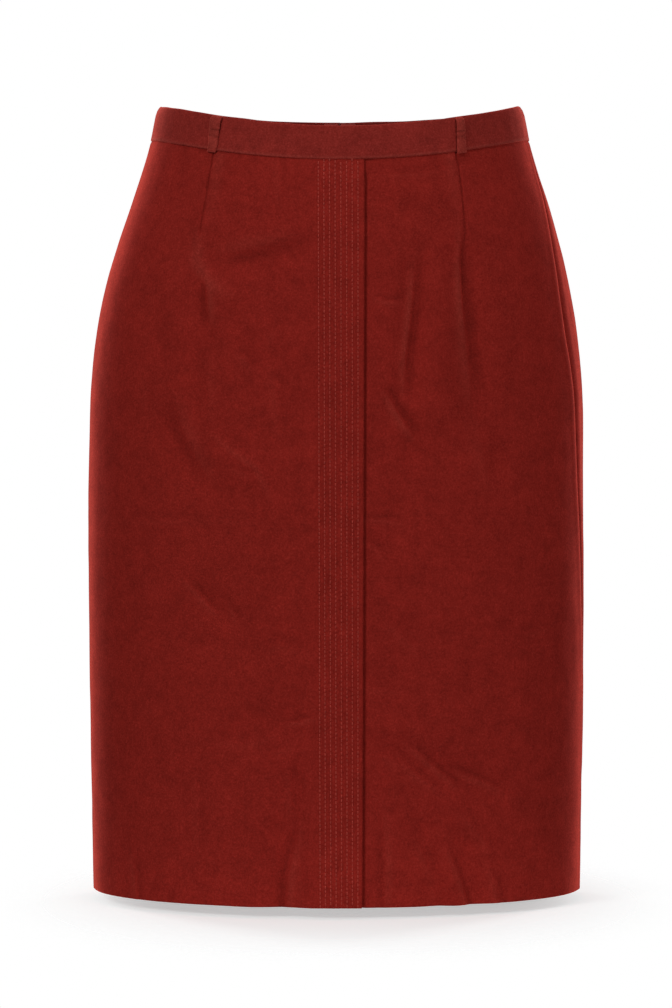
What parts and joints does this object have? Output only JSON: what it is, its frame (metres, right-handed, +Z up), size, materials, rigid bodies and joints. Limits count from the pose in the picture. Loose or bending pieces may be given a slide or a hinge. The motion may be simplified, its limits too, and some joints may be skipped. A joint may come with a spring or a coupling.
{
  "type": "pencil skirt",
  "caption": "Knee-length straight skirt in napped cotton, filled out as worn, with a stitched front lap, waistband, belt loops and a concealed back zip.",
  "frame": {"origin": "centre of the waist, at the height of the waist seam at the side seams", "axes": "+Z up towards the waistband, the front faces -Y, +X is the wearer's left"},
  "size_m": [0.3831, 0.2508, 0.606],
  "materials": {
    "skirt_cloth": "rust-red napped cotton, matt with a pale sheen at the edges",
    "band_cloth": "the same cloth, interfaced and pressed flat",
    "zip_tape": "rust-red woven tape and nylon coil",
    "zip_metal": "rust-red enamel, satin"
  },
  "bodies": {
    "skirt": {"front_right": "skirt_cloth", "front_left": "skirt_cloth", "back_right": "skirt_cloth", "back_left": "skirt_cloth", "waistband": "band_cloth", "belt_loop_front_right": "band_cloth", "belt_loop_front_left": "band_cloth", "belt_loop_back_right": "band_cloth", "belt_loop_back_left": "band_cloth", "zip_tape_right": "zip_tape", "zip_tape_left": "zip_tape", "zip_chain": "zip_tape", "zip_slider": "zip_metal"},
    "pull": {"zip_pull": "zip_metal"}
  },
  "joints": [
    {"name": "zip_pull_swing", "type": "hinge", "parent": "skirt", "child": "pull", "pos_m": [0, 0.102, 0.0158], "axis": [1, 0, 0], "range_deg": [0, 150]}
  ]
}
